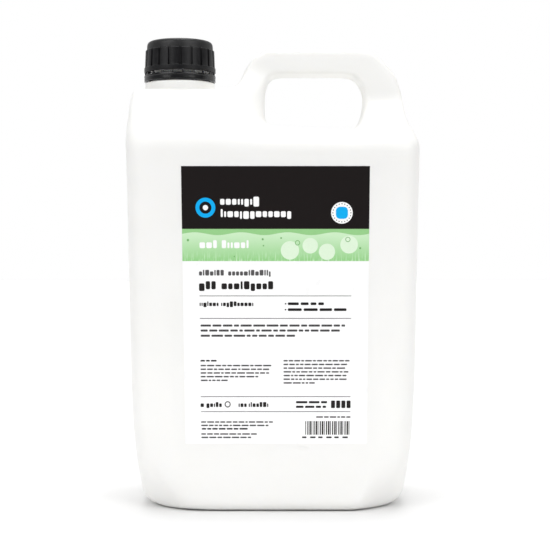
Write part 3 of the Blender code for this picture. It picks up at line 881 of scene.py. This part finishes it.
def build_print():
    dice = random.Random(PRINT_SEED)
    width = LABEL_TOP_WIDTH / MM
    steps = [width * step / WAVE_STEPS for step in range(WAVE_STEPS + 1)]
    wavy = [(across, wavy_edge(across)) for across in steps]
    wavy = [(0.0, BAND_BOTTOM), (width, BAND_BOTTOM)] + wavy[::-1]
    header = block(0.0, 0.0, width, HEADER_BOTTOM)
    band = block(0.0, HEADER_BOTTOM, width, BAND_BOTTOM)
    print_piece("header_print", [header], 1, flat_ink("header_ink", HEADER_BLACK, 0.1))
    print_piece("band_print", [band], 1, flat_ink("green_ink", GREEN_DARK))
    print_piece("wave_print", [wavy], 2, wave_ink())
    pale = [disc(61.0, 47.2, 5.2), disc(72.5, 44.6, 4.4), disc(82.0, 48.0, 4.6), disc(94.5, 44.0, 5.0)]
    print_piece("pale_bubbles", pale, 3, flat_ink("pale_green_ink", GREEN_PALE))
    rings = [(disc(x, y, 1.45), disc(x, y, 1.05)) for x, y in ((65.3, 43.0), (93.8, 41.1))]
    small = [disc(x, y, r, 16) for x, y, r in ((3.3, 41.5, 0.7), (45.6, 41.0, 0.6), (46.0, 44.6, 0.45))]
    small += [disc(56.0, 40.3, 0.5, 16), disc(100.8, 46.0, 0.6, 16), disc(29.5, 50.6, 0.4, 16)]
    print_piece("bubble_print", small, 4, flat_ink("deep_green_ink", GREEN_DEEP), rings)
    white = [disc(*BADGE, 6.1, 48), disc(*EMBLEM, 1.5)]
    for left, right in ((9.8, 19.6), (22.4, 38.6)):
        white += greeked_word(left, right, 42.7, 46.0, dice)
    white += greeked_word(21.7, 44.0, 18.4, 21.7, dice) + greeked_word(22.0, 61.7, 25.3, 28.6, dice)
    emblem = [(disc(*EMBLEM, 5.6, 48), disc(*EMBLEM, 3.4, 48))]
    print_piece("white_print", white, 3, flat_ink("white_ink", WHITE_INK))
    print_piece("blue_print", [block(86.9, 22.8, 93.7, 29.6, 2.2)], 4, flat_ink("blue_ink", BLUE), emblem)
    dashes = []
    for dash in range(BADGE_DASHES):
        turn = math.tau * dash / BADGE_DASHES
        dashes.append(disc(BADGE[0] + 5.1 * math.sin(turn), BADGE[1] + 5.1 * math.cos(turn), 0.32, 8))
    print_piece("badge_print", dashes, 4, flat_ink("badge_ink", HEADER_BLACK))
    light = greeked_word(9.3, 23.4, 59.0, 61.3, dice) + greeked_word(25.9, 50.0, 59.0, 61.3, dice)
    print_piece("light_heading", light, 1, flat_ink("soft_black_ink", SOFT_BLACK))
    round_mark = [(disc(*ROUND_MARK, 1.75), disc(*ROUND_MARK, 1.2))]
    print_piece("bold_print", bold_print(dice), 1, flat_ink("text_ink", HEADER_BLACK), round_mark)
    print_piece("small_print", small_print(dice), 1, flat_ink("grey_ink", GREY_INK))


# ---------------------------------------------------------------- materials


def linear(colour):
    """A colour given in display values from 0 to 255, as a shader needs it."""
    shares = [value / 255 for value in colour]
    return (*[(s / 12.92 if s <= 0.04045 else ((s + 0.055) / 1.055) ** 2.4) for s in shares], 1.0)


def new_material(name, colour, roughness, **settings):
    """A Principled material; returns it with its nodes, links and shader."""
    material = bpy.data.materials.new(name)
    material.use_nodes = True
    nodes, links = material.node_tree.nodes, material.node_tree.links
    shader = nodes["Principled BSDF"]
    shader.inputs["Base Color"].default_value = colour
    shader.inputs["Roughness"].default_value = roughness
    for setting, value in settings.items():
        shader.inputs[setting.replace("_", " ")].default_value = value
    return material, nodes, links, shader


def object_place(nodes, links, stretch=(1.0, 1.0, 1.0)):
    """The point's own place in metres, stretched along each axis."""
    place = nodes.new("ShaderNodeTexCoord")
    mapping = nodes.new("ShaderNodeMapping")
    mapping.inputs["Scale"].default_value = stretch
    links.new(place.outputs["Object"], mapping.inputs["Vector"])
    return mapping.outputs["Vector"]


def noise_node(nodes, links, vector, size, detail=3.0):
    texture = nodes.new("ShaderNodeTexNoise")
    texture.inputs["Scale"].default_value = 1.0 / size
    texture.inputs["Detail"].default_value = detail
    links.new(vector, texture.inputs["Vector"])
    return texture.outputs["Fac"]


def spread(nodes, links, value, low, high, source=(0.3, 0.7)):
    """A value mapped from the source range to low and high."""
    mapped = nodes.new("ShaderNodeMapRange")
    mapped.inputs["From Min"].default_value, mapped.inputs["From Max"].default_value = source
    mapped.inputs["To Min"].default_value, mapped.inputs["To Max"].default_value = low, high
    links.new(value, mapped.inputs["Value"])
    return mapped.outputs["Result"]


def mixed(nodes, links, factor, first, second):
    """Two colours mixed by a factor; each is a colour or a socket."""
    mix = nodes.new("ShaderNodeMix")
    mix.data_type = "RGBA"
    links.new(factor, mix.inputs["Factor"])
    for socket, colour in zip((mix.inputs[6], mix.inputs[7]), (first, second)):
        if isinstance(colour, tuple):
            socket.default_value = colour
        else:
            links.new(colour, socket)
    return mix.outputs[2]


def add_bump(nodes, links, shader, height, distance, strength=1.0, under=None):
    bump = nodes.new("ShaderNodeBump")
    bump.inputs["Distance"].default_value = distance
    bump.inputs["Strength"].default_value = strength
    links.new(height, bump.inputs["Height"])
    if under is not None:
        links.new(under, bump.inputs["Normal"])
    links.new(bump.outputs["Normal"], shader.inputs["Normal"])
    return bump.outputs["Normal"]


def polyethylene():
    """Milky white blow-moulded plastic: soft gloss, faint orange peel, and warmer and lighter from the
    shoulder ridge up to the handle's top. The warmth is the tint of the thicker plastic; the lightness is
    painted light where light from above falls.
    """
    material, nodes, links, shader = new_material(
        "white_polyethylene", MILKY_PLAIN, 0.4, Subsurface_Weight=0.25, Subsurface_Scale=0.002
    )
    shader.inputs["Subsurface Radius"].default_value = (1.0, 0.95, 0.85)
    place = object_place(nodes, links)
    clouds = noise_node(nodes, links, place, 30 * MM)
    body = mixed(nodes, links, spread(nodes, links, clouds, 0, 1), MILKY_LIGHT, MILKY_DARK)
    height = nodes.new("ShaderNodeSeparateXYZ")
    links.new(place, height.inputs["Vector"])
    # from the shoulder ridge up to the handle's top the colour turns warmer (the thick plastic's tint) and
    # lighter (painted light from above)
    warm_lit_top = spread(nodes, links, height.outputs["Z"], 0.0, 1.0, (RIDGE_HEIGHT, HANDLE_TOP))
    links.new(mixed(nodes, links, warm_lit_top, body, MILKY_WARM_LIT_TOP), shader.inputs["Base Color"])
    patches = noise_node(nodes, links, place, 9 * MM, 5.0)
    links.new(spread(nodes, links, patches, 0.36, 0.48), shader.inputs["Roughness"])
    peel = noise_node(nodes, links, place, 1.4 * MM, 2.0)
    add_bump(nodes, links, shader, peel, 0.02 * MM, 0.6)
    return material


def black_plastic(name, roughness, grain, gloss):
    """Injection-moulded black plastic: fine grain, uneven gloss, and a domed top painted greyer, as painted
    light for the highlight the dome catches from above.
    """
    material, nodes, links, shader = new_material(name, BLACK_DEEP, roughness, Specular_IOR_Level=gloss)
    place = object_place(nodes, links)
    rubbed = noise_node(nodes, links, place, 4 * MM, 6.0)
    links.new(spread(nodes, links, rubbed, roughness - 0.06, roughness + 0.1), shader.inputs["Roughness"])
    tint = mixed(nodes, links, spread(nodes, links, rubbed, 0, 1), BLACK_DEEP, BLACK_RUBBED)
    height = nodes.new("ShaderNodeSeparateXYZ")
    links.new(place, height.inputs["Vector"])
    # the cap's domed top is painted greyer, as painted light from above
    lit_dome = spread(nodes, links, height.outputs["Z"], 0.0, 1.0, (CAP_PANEL_TOP, CAP_PANEL_TOP + 0.8 * MM))
    links.new(mixed(nodes, links, lit_dome, tint, BLACK_LIT_DOME), shader.inputs["Base Color"])
    fine = noise_node(nodes, links, place, 0.35 * MM, 3.0)
    add_bump(nodes, links, shader, fine, grain, 0.5)
    return material


def foam():
    """Closed-cell foam: matt, with small cells, each painted darker towards its middle where the bump sinks
    it, as painted shade in the cell hollows.
    """
    material, nodes, links, shader = new_material("white_foam", FOAM_PLAIN, 0.85)
    place = object_place(nodes, links)
    cells = nodes.new("ShaderNodeTexVoronoi")
    cells.inputs["Scale"].default_value = 1.0 / (0.5 * MM)
    links.new(place, cells.inputs["Vector"])
    distance = cells.outputs["Distance"]
    # painted shade: darker in the middle of each cell, where the bump sinks
    tint = mixed(nodes, links, spread(nodes, links, distance, 0, 1, (0, 1)), FOAM_HOLLOW_SHADE, FOAM_LIGHT)
    links.new(tint, shader.inputs["Base Color"])
    add_bump(nodes, links, shader, distance, 0.06 * MM, 0.8)
    return material


def film():
    """Glossy white label film with the faintest ripple."""
    material, nodes, links, shader = new_material("label_film", linear(FILM_WHITE), 0.3)
    place = object_place(nodes, links)
    ripple = noise_node(nodes, links, place, 12 * MM, 2.0)
    links.new(spread(nodes, links, ripple, 0.26, 0.36), shader.inputs["Roughness"])
    add_bump(nodes, links, shader, ripple, 0.012 * MM, 0.3)
    return material


def flat_ink(name, colour, gloss=0.25):
    """A printed ink: one colour with a trace of mottle, and the film's gloss."""
    material, nodes, links, shader = new_material(name, linear(colour), 0.4, Specular_IOR_Level=gloss)
    place = object_place(nodes, links)
    mottle = noise_node(nodes, links, place, 1.2 * MM, 4.0)
    darker = tuple(value * 0.94 for value in linear(colour)[:3]) + (1.0,)
    links.new(mixed(nodes, links, mottle, linear(colour), darker), shader.inputs["Base Color"])
    links.new(spread(nodes, links, mottle, 0.36, 0.46), shader.inputs["Roughness"])
    return material


def wave_ink():
    """The light green that deepens downwards, with pale upright streaks near its foot."""
    material, nodes, links, shader = new_material("wave_ink", linear(GREEN_LIGHT), 0.32)
    place = object_place(nodes, links)
    height = nodes.new("ShaderNodeSeparateXYZ")
    links.new(place, height.inputs["Vector"])
    top, bottom = on_label(0.0, 38.0)[1], on_label(0.0, 53.0)[1]
    fade = spread(nodes, links, height.outputs["Z"], 0.0, 1.0, (top, bottom))
    base = mixed(nodes, links, fade, linear(GREEN_LIGHT), linear(GREEN_MIDDLE))
    streak_place = object_place(nodes, links, (1.0, 1.0, 0.12))
    streaks = noise_node(nodes, links, streak_place, 0.9 * MM, 2.0)
    strength = nodes.new("ShaderNodeMath")
    strength.operation = "MULTIPLY"
    links.new(spread(nodes, links, streaks, 0.0, 0.8, (0.5, 0.7)), strength.inputs[0])
    low = spread(nodes, links, height.outputs["Z"], 0.0, 1.0, (on_label(0.0, 47.0)[1], bottom))
    links.new(low, strength.inputs[1])
    tint = mixed(nodes, links, strength.outputs[0], base, linear(GREEN_PALE))
    links.new(tint, shader.inputs["Base Color"])
    links.new(spread(nodes, links, streaks, 0.28, 0.38), shader.inputs["Roughness"])
    return material


# ---------------------------------------------------------------- stage


def finished(piece, material, body, node):
    piece.data.materials.clear()
    piece.data.materials.append(material)
    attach(piece, body)
    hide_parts(node)
    return piece


def build_floor():
    bpy.ops.mesh.primitive_plane_add(size=1.0)
    floor = bpy.context.object
    floor.name = "floor"
    floor.scale = (2 * FLOOR_HALF_WIDTH, FLOOR_BACK - FLOOR_FRONT, 1.0)
    floor.location.y = (FLOOR_BACK + FLOOR_FRONT) / 2
    material, nodes, links, shader = new_material("pale_floor", FLOOR_COLOUR, 0.9)
    shader.inputs["Specular IOR Level"].default_value = 0.1
    floor.data.materials.append(material)


def add_light(name, azimuth, elevation, strength, spread_angle):
    """A distant soft light; azimuth 0 shines from the front and 90 from +X."""
    lamp = bpy.data.lights.new(name, "SUN")
    lamp.energy = strength * math.pi
    lamp.angle = math.radians(spread_angle)
    thing = bpy.data.objects.new(name, lamp)
    bpy.context.scene.collection.objects.link(thing)
    turn, rise = math.radians(azimuth), math.radians(elevation)
    towards = Vector((math.sin(turn) * math.cos(rise), -math.cos(turn) * math.cos(rise), math.sin(rise)))
    thing.rotation_euler = towards.to_track_quat("Z", "Y").to_euler()


def build_lights():
    for name, azimuth, elevation, strength, spread_angle in LIGHTS:
        add_light(name, azimuth, elevation, strength, spread_angle)


def build_world():
    """White behind the bottle; for everything else dimmer from in front than from behind."""
    world = bpy.data.worlds.new("studio")
    bpy.context.scene.world = world
    world.use_nodes = True
    nodes, links = world.node_tree.nodes, world.node_tree.links
    output = nodes["World Output"]
    studio = nodes["Background"]
    place = nodes.new("ShaderNodeTexCoord")
    split = nodes.new("ShaderNodeSeparateXYZ")
    links.new(place.outputs["Generated"], split.inputs["Vector"])
    strength = spread(nodes, links, split.outputs["Y"], WORLD_FRONT, WORLD_BACK, WORLD_TURN)
    links.new(strength, studio.inputs["Strength"])
    seen = nodes.new("ShaderNodeBackground")
    seen.inputs["Strength"].default_value = 1.0
    for background in (studio, seen):
        background.inputs["Color"].default_value = (1.0, 1.0, 1.0, 1.0)
    path = nodes.new("ShaderNodeLightPath")
    mix = nodes.new("ShaderNodeMixShader")
    links.new(path.outputs["Is Camera Ray"], mix.inputs["Fac"])
    links.new(studio.outputs["Background"], mix.inputs[1])
    links.new(seen.outputs["Background"], mix.inputs[2])
    links.new(mix.outputs["Shader"], output.inputs["Surface"])


def build_camera():
    lens = bpy.data.cameras.new("camera")
    lens.lens = CAMERA_LENS
    camera = bpy.data.objects.new("camera", lens)
    bpy.context.scene.collection.objects.link(camera)
    camera.location = CAMERA_PLACE
    camera.rotation_euler = (math.pi / 2, 0.0, 0.0)
    bpy.context.scene.camera = camera


def main():
    build_camera()
    build_floor()
    build_lights()
    build_world()
    bpy.context.scene.view_settings.view_transform = "Standard"
    finished(build_bottle(), polyethylene(), "bottle", "bottle_body")
    finished(build_film(), film(), "bottle", "front_label")
    build_print()
    cap_plastic = black_plastic("black_polypropylene", 0.36, 0.02 * MM, 0.25)
    finished(build_cap(), cap_plastic, "cap", "screw_cap")
    ring = combined(build_ring(), build_bridges(), "UNION")
    shade_round(ring, 35)
    finished(ring, black_plastic("black_ring", 0.2, 0.01 * MM, 0.45), "ring", "tamper_ring")
    finished(build_liner(), foam(), "liner", "cap_liner")


main()
